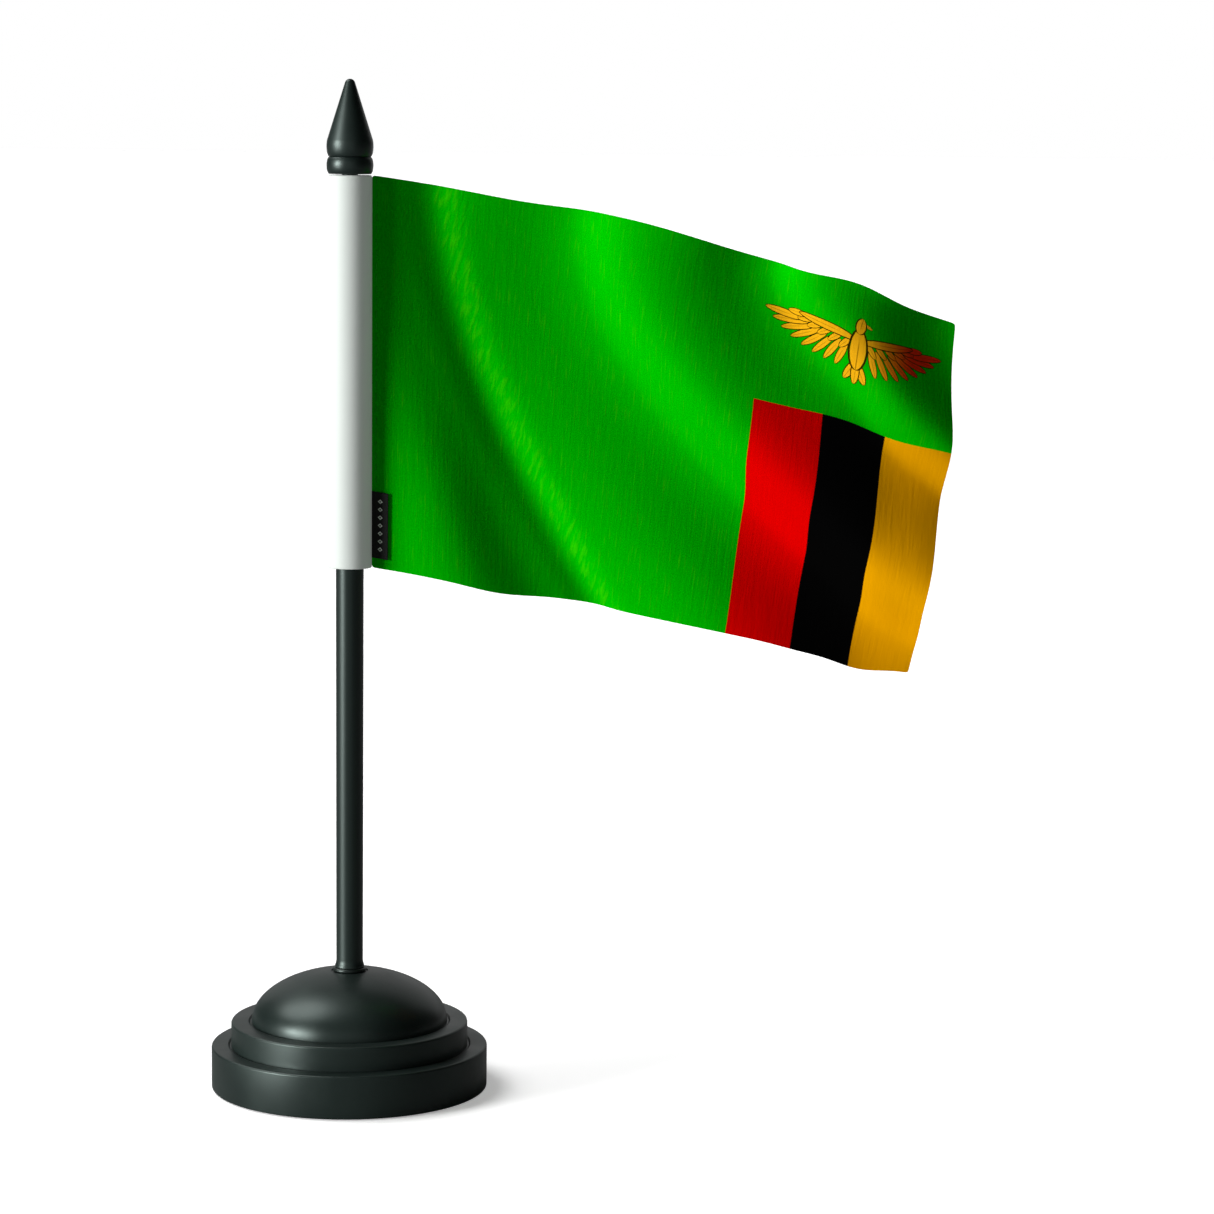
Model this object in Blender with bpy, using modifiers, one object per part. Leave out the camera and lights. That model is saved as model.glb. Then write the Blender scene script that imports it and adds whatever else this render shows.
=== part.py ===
# A desk flag stand: a stepped, weighted base, a pole that lifts out of it, a finial and a cloth flag.
# Units are metres and +Z is up. The pole stands on the Z axis and the flag flies towards +X.

import math

import bmesh
import bpy

MM = 0.001

# Driving dimensions
BASE_RADIUS = 35.8 * MM
TIER_RADIUS = 30.7 * MM
DOME_RADIUS = 25.4 * MM
DISC_TOP = 11.4 * MM
TIER_TOP = 17.6 * MM
DOME_RISE = 13.3 * MM
POLE_SEAT = 30.35 * MM
POLE_TOP = 235.6 * MM
FLAG_TOP = 236.3 * MM
FLAG_HOIST = 100.0 * MM
FLAG_FLY = 160.0 * MM
FINIAL_HEIGHT = 23.9 * MM

# Fits
GAP = 0.25 * MM
SLIDING_GAP = 0.15 * MM
EDGE_ROUND = 0.7 * MM

# Base shell
SHELL_WALL = 2.2 * MM
SHELL_FOOT = 0.3 * MM
SEAT_RADIUS = 4.8 * MM
SOCKET_RADIUS = 4.1 * MM
SOCKET_FLOOR = 6.4 * MM
BOSS_RADIUS = 6.6 * MM
BOSS_FOOT = 4.2 * MM
RIB_OUTER = 21.0 * MM
RIB_INNER = 19.0 * MM
POST_RADIUS = 2.8 * MM
POST_PILOT = 1.35 * MM
POST_CIRCLE = 30.2 * MM
POST_ANGLES = (90.0, 210.0, 330.0)

# Underside
PAD_RADIUS = 33.0 * MM
PAD_THICKNESS = 1.0 * MM
PAD_HOLE = 3.2 * MM
PLATE_THICKNESS = 2.6 * MM
PLATE_HOLE = 1.45 * MM
COUNTERBORE_RADIUS = 2.9 * MM
COUNTERBORE_DEPTH = 1.5 * MM
BALLAST_OUTER = 27.0 * MM
BALLAST_INNER = 8.0 * MM
BALLAST_THICKNESS = 5.0 * MM
SCREW_HEAD_RADIUS = 2.4 * MM
SCREW_HEAD_HEIGHT = 1.2 * MM
SCREW_SHANK_RADIUS = 1.15 * MM
SCREW_LENGTH = 6.2 * MM

# Bush and pole
FLANGE_RADIUS = 4.4 * MM
FLANGE_THICKNESS = 1.1 * MM
BUSH_OUTER = 3.9 * MM
BUSH_BORE = 3.15 * MM
SPIGOT_RADIUS = 3.0 * MM
SPIGOT_LENGTH = 24.5 * MM
POLE_FOOT_RADIUS = 3.45 * MM
POLE_TOP_RADIUS = 3.7 * MM
POLE_FLARE = 0.35 * MM
POLE_BORE = 2.3 * MM
POLE_BORE_DEPTH = 195.0 * MM

# Finial, from its underside up
FINIAL_RADIUS = 5.95 * MM
FINIAL_TIP_RADIUS = 1.35 * MM
FINIAL_GROOVE = 5.2 * MM
FINIAL_GROOVE_HEIGHT = 4.35 * MM
FINIAL_SHOULDER_HEIGHT = 7.0 * MM
FINIAL_PIN_RADIUS = 2.05 * MM
FINIAL_PIN_LENGTH = 11.5 * MM

# Flag
SLEEVE_RADIUS = 5.65 * MM
SLEEVE_WALL = 0.45 * MM
SLEEVE_HOLE = 2.45 * MM
CLOTH_THICKNESS = 0.6 * MM
LABEL_WIDTH = 4.6 * MM
LABEL_HEIGHT = 17.1 * MM
LABEL_LIFT = 2.6 * MM
LABEL_THICKNESS = 0.35 * MM
LABEL_GAP = 0.8 * MM
FLY_DROP = 22.0 * MM
FLY_SAG = 15.0 * MM
LOWER_EDGE_LIFT = 9.0 * MM
HOIST_RELAX = 7.0 * MM
LOWER_EDGE_GATHER = 0.12

# The folds fan out down the cloth from the top of the hoist. In millimetres: where a fold's line
# meets the top edge and the bottom edge, how late it bends outwards (1 is a straight line), its
# width on its left and on its right, and its depth (+ is away from the front) at the top edge and
# at the bottom edge.
FOLDS = (
    (8.0, 20.0, 1.0, 14.0, 16.0, 0.5, -1.0),
    (12.0, 56.0, 1.6, 16.0, 28.0, 3.0, 9.0),
    (15.0, 66.0, 1.6, 6.0, 5.0, 2.0, 3.0),
    (50.0, 174.0, 2.1, 22.0, 12.0, 7.0, 15.0),
    (104.0, 290.0, 1.75, 18.0, 10.0, 8.0, 9.0),
    (163.0, 290.0, 1.4, 24.0, 30.0, 16.0, 30.0),
)

# Where the folds also lift the cloth or let it sag. In millimetres: the distance out along the
# thread, the half width, and the rise at the top edge and at the bottom edge.
RIPPLES = (
    (38.0, 14.0, -0.4, -1.4),
    (67.0, 20.0, 1.3, -0.3),
    (128.0, 10.0, 1.2, -0.6),
    (145.0, 10.0, -0.4, -2.0),
)

# Facets round each turned piece
BASE_SIDES = 40
POLE_SIDES = 24
SCREW_SIDES = 16
CLOTH_COLUMNS = 26
CLOTH_ROWS = 14
THREAD_STEPS = 80


def clear_scene():
    for item in list(bpy.data.objects):
        bpy.data.objects.remove(item, do_unlink=True)


def new_collection(name):
    group = bpy.data.collections.new(name)
    bpy.context.scene.collection.children.link(group)
    return group


def finish(name, colour, roughness, metallic=0.0):
    material = bpy.data.materials.new(name)
    material.use_nodes = True
    shader = material.node_tree.nodes["Principled BSDF"]
    shader.inputs["Base Color"].default_value = (*colour, 1.0)
    shader.inputs["Roughness"].default_value = roughness
    shader.inputs["Metallic"].default_value = metallic
    return material


def arc(centre_radius, centre_height, size_out, size_up, start, end, steps):
    """Points of (radius, height) on part of an ellipse, from one angle in degrees to another."""
    points = []
    for step in range(steps + 1):
        angle = math.radians(start + (end - start) * step / steps)
        radius = centre_radius + size_out * math.cos(angle)
        height = centre_height + size_up * math.sin(angle)
        points.append((radius, height))
    return points


def turned(name, outline, sides, group, closed=False):
    """Turn an outline of (radius, height) points about Z. It runs down the piece's outer side."""
    mesh = bpy.data.meshes.new(name)
    points = [(radius, 0.0, height) for radius, height in outline]
    edges = [(index, index + 1) for index in range(len(points) - 1)]
    if closed:
        edges.append((len(points) - 1, 0))
    mesh.from_pydata(points, edges, [])
    piece = bpy.data.objects.new(name, mesh)
    group.objects.link(piece)
    turn = piece.modifiers.new("Turn", "SCREW")
    turn.axis = "Z"
    turn.steps = sides
    turn.render_steps = sides
    turn.use_smooth_shade = True
    turn.use_merge_vertices = True
    turn.merge_threshold = 0.00001
    return piece


def post_rods(name, radius, bottom, top, group):
    """Three upright rods on the screw circle, used to add the posts and to cut the holes."""
    shape = bmesh.new()
    for angle in POST_ANGLES:
        made = bmesh.ops.create_cone(
            shape, cap_ends=True, segments=SCREW_SIDES, radius1=radius, radius2=radius, depth=top - bottom
        )
        turn = math.radians(angle)
        place = (POST_CIRCLE * math.cos(turn), POST_CIRCLE * math.sin(turn), (top + bottom) / 2)
        bmesh.ops.translate(shape, vec=place, verts=made["verts"])
    mesh = bpy.data.meshes.new(name)
    shape.to_mesh(mesh)
    shape.free()
    rods = bpy.data.objects.new(name, mesh)
    rods.hide_render = True
    rods.display_type = "WIRE"
    group.objects.link(rods)
    return rods


def combine(piece, other, operation):
    change = piece.modifiers.new(other.name, "BOOLEAN")
    change.operation = operation
    change.solver = "EXACT"
    change.object = other


def make_base_shell(parts, cutters, material):
    """One moulding: socket, dome, two steps, outer wall, and the ribs and boss under the dome."""
    dome_start = math.degrees(math.acos(SEAT_RADIUS / DOME_RADIUS))
    inner_radius = DOME_RADIUS - SHELL_WALL
    inner_rise = DOME_RISE - SHELL_WALL
    roof = TIER_TOP - SHELL_WALL

    def under_dome(radius):
        return TIER_TOP + inner_rise * math.sqrt(1.0 - (radius / inner_radius) ** 2)

    def under_dome_angle(radius):
        return math.degrees(math.acos(radius / inner_radius))

    outline = [
        (0.0, SOCKET_FLOOR),
        (SOCKET_RADIUS, SOCKET_FLOOR),
        (SOCKET_RADIUS, POLE_SEAT),
        (SEAT_RADIUS, POLE_SEAT),
    ]
    outline += arc(0.0, TIER_TOP, DOME_RADIUS, DOME_RISE, dome_start, 0.0, 11)
    outline += arc(TIER_RADIUS - EDGE_ROUND, TIER_TOP - EDGE_ROUND, EDGE_ROUND, EDGE_ROUND, 90.0, 0.0, 3)
    outline.append((TIER_RADIUS, DISC_TOP))
    outline += arc(BASE_RADIUS - EDGE_ROUND, DISC_TOP - EDGE_ROUND, EDGE_ROUND, EDGE_ROUND, 90.0, 0.0, 3)
    outline += [
        (BASE_RADIUS, SHELL_FOOT + EDGE_ROUND / 2),
        (BASE_RADIUS - EDGE_ROUND / 2, SHELL_FOOT),
        (BASE_RADIUS - SHELL_WALL, SHELL_FOOT),
        (BASE_RADIUS - SHELL_WALL, DISC_TOP - SHELL_WALL),
        (TIER_RADIUS - SHELL_WALL, DISC_TOP - SHELL_WALL),
        (TIER_RADIUS - SHELL_WALL, roof),
        (inner_radius, roof),
    ]
    outline += arc(0.0, TIER_TOP, inner_radius, inner_rise, 0.0, under_dome_angle(RIB_OUTER), 3)
    rib_foot = ballast_floor() + BALLAST_THICKNESS + GAP
    outline += [(RIB_OUTER, rib_foot), (RIB_INNER, rib_foot), (RIB_INNER, under_dome(RIB_INNER))]
    outline += arc(0.0, TIER_TOP, inner_radius, inner_rise, 45.0, under_dome_angle(BOSS_RADIUS), 4)
    outline += [(BOSS_RADIUS, BOSS_FOOT), (0.0, BOSS_FOOT)]

    shell = turned("base_shell", outline, BASE_SIDES, parts)
    post_foot = ballast_floor()
    post_top = DISC_TOP - SHELL_WALL / 2
    posts = post_rods("post_form", POST_RADIUS, post_foot, post_top, cutters)
    pilots = post_rods("pilot_cut", POST_PILOT, post_foot - MM, screw_tip() + GAP, cutters)
    combine(shell, posts, "UNION")
    combine(shell, pilots, "DIFFERENCE")
    shell.data.materials.append(material)
    return shell


def plate_foot():
    return PAD_THICKNESS + SLIDING_GAP


def ballast_floor():
    return plate_foot() + PLATE_THICKNESS + SLIDING_GAP


def screw_seat():
    return plate_foot() + COUNTERBORE_DEPTH - SLIDING_GAP


def screw_tip():
    return screw_seat() + SCREW_LENGTH


def make_foot_pad(parts, cutters, material):
    corner = 0.2 * MM
    outline = [
        (0.0, PAD_THICKNESS),
        (PAD_RADIUS, PAD_THICKNESS),
        (PAD_RADIUS, corner),
        (PAD_RADIUS - corner, 0.0),
        (0.0, 0.0),
    ]
    pad = turned("foot_pad", outline, BASE_SIDES, parts)
    combine(pad, post_rods("pad_hole_cut", PAD_HOLE, -MM, PAD_THICKNESS + MM, cutters), "DIFFERENCE")
    pad.data.materials.append(material)
    return pad


def make_bottom_plate(parts, cutters, material):
    radius = BASE_RADIUS - SHELL_WALL - GAP
    foot = plate_foot()
    top = foot + PLATE_THICKNESS
    outline = [(0.0, top), (radius - GAP, top), (radius, top - GAP), (radius, foot), (0.0, foot)]
    plate = turned("bottom_plate", outline, BASE_SIDES, parts)
    bores = post_rods("plate_hole_cut", PLATE_HOLE, foot - MM, top + MM, cutters)
    recesses = post_rods(
        "counterbore_cut", COUNTERBORE_RADIUS, foot - MM, foot + COUNTERBORE_DEPTH, cutters
    )
    combine(plate, bores, "DIFFERENCE")
    combine(plate, recesses, "DIFFERENCE")
    plate.data.materials.append(material)
    return plate


def make_ballast_ring(parts, material):
    floor = ballast_floor()
    top = floor + BALLAST_THICKNESS
    chamfer = 0.4 * MM
    outline = [
        (BALLAST_INNER, top),
        (BALLAST_OUTER - chamfer, top),
        (BALLAST_OUTER, top - chamfer),
        (BALLAST_OUTER, floor),
        (BALLAST_INNER, floor),
    ]
    ring = turned("ballast_ring", outline, BASE_SIDES, parts, closed=True)
    ring.data.materials.append(material)
    return ring


def make_plate_screws(parts, material):
    """Three self-tapping screws, driven up from below into the posts."""
    seat = screw_seat()
    head_foot = seat - SCREW_HEAD_HEIGHT
    head_edge = 0.3 * MM
    point = 1.0 * MM
    outline = [
        (0.0, screw_tip()),
        (SCREW_SHANK_RADIUS * 0.4, screw_tip() - point * 0.2),
        (SCREW_SHANK_RADIUS, screw_tip() - point),
        (SCREW_SHANK_RADIUS, seat),
        (SCREW_HEAD_RADIUS, seat),
        (SCREW_HEAD_RADIUS, head_foot + head_edge),
        (SCREW_HEAD_RADIUS - head_edge, head_foot),
        (0.0, head_foot),
    ]
    screws = []
    for number, angle in enumerate(POST_ANGLES, start=1):
        screw = turned(f"plate_screw_{number}", outline, SCREW_SIDES, parts)
        turn = math.radians(angle)
        screw.location = (POST_CIRCLE * math.cos(turn), POST_CIRCLE * math.sin(turn), 0.0)
        screw.data.materials.append(material)
        screws.append(screw)
    return screws


def make_socket_bush(parts, material):
    """A flanged sleeve that lines the socket. Heights are measured from under its flange."""
    length = POLE_SEAT - SOCKET_FLOOR - 2 * GAP
    lip = 0.3 * MM
    outline = [
        (BUSH_BORE, FLANGE_THICKNESS),
        (FLANGE_RADIUS - lip, FLANGE_THICKNESS),
        (FLANGE_RADIUS, FLANGE_THICKNESS - lip),
        (FLANGE_RADIUS, lip / 2),
        (FLANGE_RADIUS - lip / 2, 0.0),
        (BUSH_OUTER, 0.0),
        (BUSH_OUTER, -length + lip),
        (BUSH_OUTER - lip, -length),
        (BUSH_BORE, -length),
    ]
    bush = turned("socket_bush", outline, POLE_SIDES, parts, closed=True)
    bush.location.z = POLE_SEAT + SLIDING_GAP
    bush.data.materials.append(material)
    return bush


def make_pole(parts, material):
    """A tapered tube with a turned-down end that drops into the bush. Heights start at its shoulder."""
    shoulder = pole_shoulder()
    top = POLE_TOP - shoulder
    edge = 0.25 * MM
    outline = [
        (0.0, top - POLE_BORE_DEPTH),
        (POLE_BORE, top - POLE_BORE_DEPTH),
        (POLE_BORE, top),
        (POLE_TOP_RADIUS - edge, top),
        (POLE_TOP_RADIUS, top - edge),
        (POLE_FOOT_RADIUS, 2.0 * MM),
        (POLE_FOOT_RADIUS + POLE_FLARE * 0.3, 1.0 * MM),
        (POLE_FOOT_RADIUS + POLE_FLARE, 0.35 * MM),
        (POLE_FOOT_RADIUS + POLE_FLARE, 0.0),
        (SPIGOT_RADIUS, 0.0),
        (SPIGOT_RADIUS, -SPIGOT_LENGTH + 2 * edge),
        (SPIGOT_RADIUS - 2 * edge, -SPIGOT_LENGTH),
        (0.0, -SPIGOT_LENGTH),
    ]
    pole = turned("pole", outline, POLE_SIDES, parts)
    pole.location.z = shoulder
    pole.data.materials.append(material)
    return pole


def pole_shoulder():
    return POLE_SEAT + SLIDING_GAP + FLANGE_THICKNESS + SLIDING_GAP


def make_finial(parts, material):
    """A bead, a groove and a cone, with a pin that plugs into the pole."""
    bead_height = FINIAL_GROOVE_HEIGHT / 2
    bead_swell = FINIAL_RADIUS - FINIAL_GROOVE
    shoulder_height = FINIAL_SHOULDER_HEIGHT - FINIAL_GROOVE_HEIGHT
    tip_centre = FINIAL_HEIGHT - FINIAL_TIP_RADIUS
    pin_edge = 0.4 * MM
    outline = arc(0.0, tip_centre, FINIAL_TIP_RADIUS, FINIAL_TIP_RADIUS, 90.0, 15.0, 4)
    outline += arc(FINIAL_GROOVE, FINIAL_SHOULDER_HEIGHT, bead_swell, shoulder_height, 35.0, -80.0, 6)
    outline.append((FINIAL_GROOVE, FINIAL_GROOVE_HEIGHT))
    outline += arc(FINIAL_GROOVE, bead_height, bead_swell, bead_height, 75.0, -70.0, 5)
    outline += [
        (FINIAL_GROOVE, 0.0),
        (FINIAL_PIN_RADIUS, 0.0),
        (FINIAL_PIN_RADIUS, -FINIAL_PIN_LENGTH + pin_edge),
        (FINIAL_PIN_RADIUS - pin_edge, -FINIAL_PIN_LENGTH),
        (0.0, -FINIAL_PIN_LENGTH),
    ]
    finial = turned("finial", outline, POLE_SIDES, parts)
    finial.location.z = FLAG_TOP + GAP
    finial.data.materials.append(material)
    return finial


def make_flag_sleeve(parts, material):
    """The hem that slips over the pole. Its closed top has a small hole, held under the finial."""
    inner = SLEEVE_RADIUS - SLEEVE_WALL
    edge = 0.3 * MM
    outline = [
        (SLEEVE_HOLE, 0.0),
        (SLEEVE_RADIUS - edge, 0.0),
        (SLEEVE_RADIUS, -edge),
        (SLEEVE_RADIUS, -FLAG_HOIST),
        (inner, -FLAG_HOIST),
        (inner, -SLEEVE_WALL),
        (SLEEVE_HOLE, -SLEEVE_WALL),
    ]
    sleeve = turned("flag_sleeve", outline, POLE_SIDES, parts, closed=True)
    sleeve.location.z = FLAG_TOP
    sleeve.data.materials.append(material)
    return sleeve


def fold_depth(u, t):
    """How far the cloth lies behind the pole, u of the way out and t of the way down."""
    depth = 0.0
    for top, bottom, bend, left, right, top_depth, bottom_depth in FOLDS:
        aside = u * FLAG_FLY - (top + (bottom - top) * t**bend) * MM
        lean = (bottom - top) * MM * bend * t ** (bend - 1.0) / FLAG_HOIST
        width = (left if aside < 0.0 else right) * MM
        distance = aside / math.sqrt(1.0 + lean * lean) / width
        fold_size = top_depth + (bottom_depth - top_depth) * t
        depth += fold_size * MM * math.exp(-distance * distance)
    held = 1.0 - math.exp(-u * FLAG_FLY / HOIST_RELAX)
    return depth * held


def droop(u, t):
    """How far a thread hangs below its own height on the pole, u of the way out."""
    drop = FLY_DROP * u + (FLY_SAG - LOWER_EDGE_LIFT * t) * u * u
    for centre, width, top_rise, bottom_rise in RIPPLES:
        aside = (u * FLAG_FLY / MM - centre) / width
        drop -= (top_rise + (bottom_rise - top_rise) * t) * MM * math.exp(-aside * aside)
    return drop


def reach(u, t):
    """How far a thread gets from the pole, walked in short steps that keep its length."""
    steps = max(1, round(u * THREAD_STEPS))
    distance = 0.0
    for step in range(steps):
        near = u * step / steps
        far = u * (step + 1) / steps
        length = (far - near) * FLAG_FLY
        sideways = fold_depth(far, t) - fold_depth(near, t)
        down = droop(far, t) - droop(near, t)
        distance += math.sqrt(max(length**2 - sideways**2 - down**2, 0.0))
    return distance * (1.0 + LOWER_EDGE_GATHER * (0.25 - t))


def hung_cloth(name, u_span, t_span, columns, rows, thickness, forward, group):
    """A thin slab that follows the hanging cloth over part of its width and height."""
    bpy.ops.mesh.primitive_grid_add(x_subdivisions=columns, y_subdivisions=rows, size=1.0)
    cloth = bpy.context.object
    cloth.name = name
    cloth.data.name = name
    for owner in list(cloth.users_collection):
        owner.objects.unlink(cloth)
    group.objects.link(cloth)
    for vertex in cloth.data.vertices:
        u = u_span[0] + (u_span[1] - u_span[0]) * (vertex.co.x + 0.5)
        t = t_span[0] + (t_span[1] - t_span[0]) * (0.5 - vertex.co.y)
        x = SLEEVE_RADIUS + GAP + reach(u, t)
        y = fold_depth(u, t) - forward
        z = FLAG_TOP - FLAG_HOIST * t - droop(u, t)
        vertex.co = (x, y, z)
    wall = cloth.modifiers.new("Thickness", "SOLIDIFY")
    wall.thickness = thickness
    wall.offset = 0.0
    return cloth


def make_flag_panel(parts, material):
    whole = (0.0, 1.0)
    panel = hung_cloth(
        "flag_panel", whole, whole, CLOTH_COLUMNS, CLOTH_ROWS, CLOTH_THICKNESS, 0.0, parts
    )
    panel.data.materials.append(material)
    return panel


def make_side_label(parts, material):
    """A narrow woven label, sewn in at the foot of the seam on the front."""
    bottom = 1.0 - LABEL_LIFT / FLAG_HOIST
    top = bottom - LABEL_HEIGHT / FLAG_HOIST
    in_front = (CLOTH_THICKNESS + LABEL_THICKNESS) / 2 + LABEL_GAP
    label = hung_cloth(
        "side_label", (0.0, LABEL_WIDTH / FLAG_FLY), (top, bottom), 3, 4, LABEL_THICKNESS, in_front, parts
    )
    label.data.materials.append(material)
    return label


def parent_to_axis(name, pieces, group, parent=None):
    """Hang pieces on an empty that stands on the Z axis, where they turn and slide."""
    axis = bpy.data.objects.new(name, None)
    axis.empty_display_size = 20 * MM
    axis.parent = parent
    group.objects.link(axis)
    for piece in pieces:
        piece.parent = axis
    return axis


def main():
    clear_scene()
    parts = new_collection("desk_flag_stand")
    cutters = new_collection("cutters")

    plastic = finish("moulded_plastic", (0.022, 0.027, 0.025), 0.42)
    bush_plastic = finish("bush_plastic", (0.018, 0.020, 0.019), 0.5)
    plate_plastic = finish("plate_plastic", (0.03, 0.03, 0.03), 0.6)
    steel = finish("ballast_steel", (0.35, 0.34, 0.33), 0.45, 1.0)
    zinc = finish("screw_zinc", (0.6, 0.6, 0.58), 0.35, 1.0)
    foam = finish("foot_foam", (0.03, 0.03, 0.03), 0.95)
    white_cloth = finish("hem_cloth", (0.8, 0.82, 0.8), 0.75)
    green_cloth = finish("flag_cloth", (0.0, 0.33, 0.01), 0.6)
    black_cloth = finish("label_cloth", (0.015, 0.015, 0.015), 0.8)

    standing = [
        make_base_shell(parts, cutters, plastic),
        make_bottom_plate(parts, cutters, plate_plastic),
        make_foot_pad(parts, cutters, foam),
        make_ballast_ring(parts, steel),
        *make_plate_screws(parts, zinc),
    ]
    bush = make_socket_bush(parts, bush_plastic)
    pole = make_pole(parts, plastic)
    finial = make_finial(parts, plastic)
    flag = [
        make_flag_sleeve(parts, white_cloth),
        make_flag_panel(parts, green_cloth),
        make_side_label(parts, black_cloth),
    ]

    base_axis = parent_to_axis("base_axis", standing, parts)
    bush_axis = parent_to_axis("bush_axis", [bush], parts, base_axis)
    pole_axis = parent_to_axis("pole_axis", [pole], parts, bush_axis)
    parent_to_axis("finial_axis", [finial], parts, pole_axis)
    parent_to_axis("flag_axis", flag, parts, pole_axis)


main()
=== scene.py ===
import math

import bpy
import numpy as np
from mathutils import Matrix, Vector


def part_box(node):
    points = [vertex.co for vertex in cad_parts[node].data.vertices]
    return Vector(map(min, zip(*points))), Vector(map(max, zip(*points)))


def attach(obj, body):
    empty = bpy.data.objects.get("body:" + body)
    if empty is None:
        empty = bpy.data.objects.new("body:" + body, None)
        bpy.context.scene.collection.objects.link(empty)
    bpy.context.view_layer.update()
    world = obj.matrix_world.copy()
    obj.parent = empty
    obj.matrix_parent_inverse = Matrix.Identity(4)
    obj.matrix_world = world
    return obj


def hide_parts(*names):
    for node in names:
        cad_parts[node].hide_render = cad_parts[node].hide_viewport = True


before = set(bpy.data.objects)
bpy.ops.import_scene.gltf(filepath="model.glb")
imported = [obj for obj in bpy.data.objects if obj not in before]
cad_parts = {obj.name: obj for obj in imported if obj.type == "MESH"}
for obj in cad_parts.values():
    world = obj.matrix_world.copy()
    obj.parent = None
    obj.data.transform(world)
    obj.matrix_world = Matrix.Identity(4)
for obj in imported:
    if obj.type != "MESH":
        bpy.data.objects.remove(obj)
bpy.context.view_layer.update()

mm = 0.001
print("frame loaded:", len(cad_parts), "nodes")


def leaveEditMode():
    if bpy.context.object and bpy.context.object.mode != "OBJECT":
        bpy.ops.object.mode_set(mode="OBJECT")


def selectNothing():
    leaveEditMode()
    bpy.ops.object.select_all(action="DESELECT")


def selectOnly(*pieces):
    selectNothing()
    for piece in pieces:
        piece.select_set(True)
    bpy.context.view_layer.objects.active = pieces[0]


def newPiece(name):
    # the primitive that was just added becomes a named piece
    piece = bpy.context.object
    piece.name = name
    piece.data.name = name
    return piece


def applyAll(piece):
    selectOnly(piece)
    for modifier in list(piece.modifiers):
        bpy.ops.object.modifier_apply(modifier=modifier.name)


def joinPieces(name, pieces):
    selectOnly(*pieces)
    if len(pieces) > 1:
        bpy.ops.object.join()
    return newPiece(name)


def copyPiece(source, name, move):
    # a copy with its own mesh, moved in its mesh
    twin = source.copy()
    twin.data = source.data.copy()
    twin.name = name
    twin.data.name = name
    twin.data.transform(move)
    bpy.context.scene.collection.objects.link(twin)
    return twin


def combine(piece, tool, operation):
    # cuts the tool from the piece or adds it, and removes the tool
    change = piece.modifiers.new(tool.name, "BOOLEAN")
    change.operation = operation
    change.object = tool
    applyAll(piece)
    bpy.data.objects.remove(tool, do_unlink=True)


def smoothByAngle(piece, angle=40.0):
    selectOnly(piece)
    bpy.ops.object.shade_smooth_by_angle(angle=math.radians(angle))


def arcPoints(centre, size, start, end, steps):
    # points of (radius, height) on part of an ellipse, angles in degrees
    points = []
    for step in range(steps + 1):
        angle = math.radians(start + (end - start) * step / steps)
        points.append((centre[0] + size[0] * math.cos(angle), centre[1] + size[1] * math.sin(angle)))
    return points


def spunShape(name, outline, turns, closed=False):
    # one vertex is extruded along the outline of (radius, height), and the line is spun about Z
    selectNothing()
    bpy.ops.mesh.primitive_circle_add(vertices=3, radius=mm, location=(0, 0, 0))
    piece = newPiece(name)
    bpy.ops.object.mode_set(mode="EDIT")
    bpy.ops.mesh.merge(type="CENTER")
    here = Vector((outline[0][0], 0.0, outline[0][1]))
    bpy.ops.transform.translate(value=here)
    route = list(outline[1:]) + ([outline[0]] if closed else [])
    for radius, height in route:
        there = Vector((radius, 0.0, height))
        bpy.ops.mesh.extrude_vertices_move(TRANSFORM_OT_translate={"value": there - here})
        here = there
    bpy.ops.mesh.select_all(action="SELECT")
    bpy.ops.mesh.spin(steps=turns, angle=math.tau, center=(0, 0, 0), axis=(0, 0, 1))
    bpy.ops.mesh.select_all(action="SELECT")
    bpy.ops.mesh.remove_doubles(threshold=0.000002)
    bpy.ops.mesh.normals_make_consistent(inside=False)
    bpy.ops.object.mode_set(mode="OBJECT")
    smoothByAngle(piece)
    return piece


def dress(piece, material, body, slot, *replaced):
    piece.data.materials.clear()
    piece.data.materials.append(material)
    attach(piece, body)
    if replaced:
        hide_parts(*replaced)
    return piece


# shader helpers

def addNode(tree, kind, inputs=None, **settings):
    node = tree.nodes.new(kind)
    for key, value in settings.items():
        setattr(node, key, value)
    for key, value in (inputs or {}).items():
        if isinstance(value, bpy.types.NodeSocket):
            tree.links.new(value, node.inputs[key])
        else:
            node.inputs[key].default_value = value
    return node


def maths(tree, operation, first, second=0.0, third=0.0):
    node = addNode(tree, "ShaderNodeMath", {0: first, 1: second, 2: third}, operation=operation)
    return node.outputs[0]


def mixColour(tree, factor, first, second):
    node = addNode(tree, "ShaderNodeMix", data_type="RGBA")
    for index, value in ((0, factor), (6, first), (7, second)):
        if isinstance(value, bpy.types.NodeSocket):
            tree.links.new(value, node.inputs[index])
        elif index == 0:
            node.inputs[index].default_value = value
        else:
            node.inputs[index].default_value = (*value, 1.0)
    return node.outputs[2]


def remap(tree, value, low, high, toLow=0.0, toHigh=1.0, kind="SMOOTHSTEP"):
    ends = {"Value": value, "From Min": low, "From Max": high, "To Min": toLow, "To Max": toHigh}
    node = addNode(tree, "ShaderNodeMapRange", ends, interpolation_type=kind)
    return node.outputs["Result"]


def stretch(tree, vector, scale, turn=0.0):
    place = {"Vector": vector, "Rotation": (0.0, 0.0, math.radians(turn)), "Scale": scale}
    return addNode(tree, "ShaderNodeMapping", place).outputs["Vector"]


def noise(tree, vector, scale=1.0, detail=2.0):
    made = addNode(tree, "ShaderNodeTexNoise", {"Vector": vector, "Scale": scale, "Detail": detail})
    return made.outputs["Fac"]


def bump(tree, height, strength, distance):
    values = {"Strength": strength, "Distance": distance, "Height": height}
    return addNode(tree, "ShaderNodeBump", values).outputs["Normal"]


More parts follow.
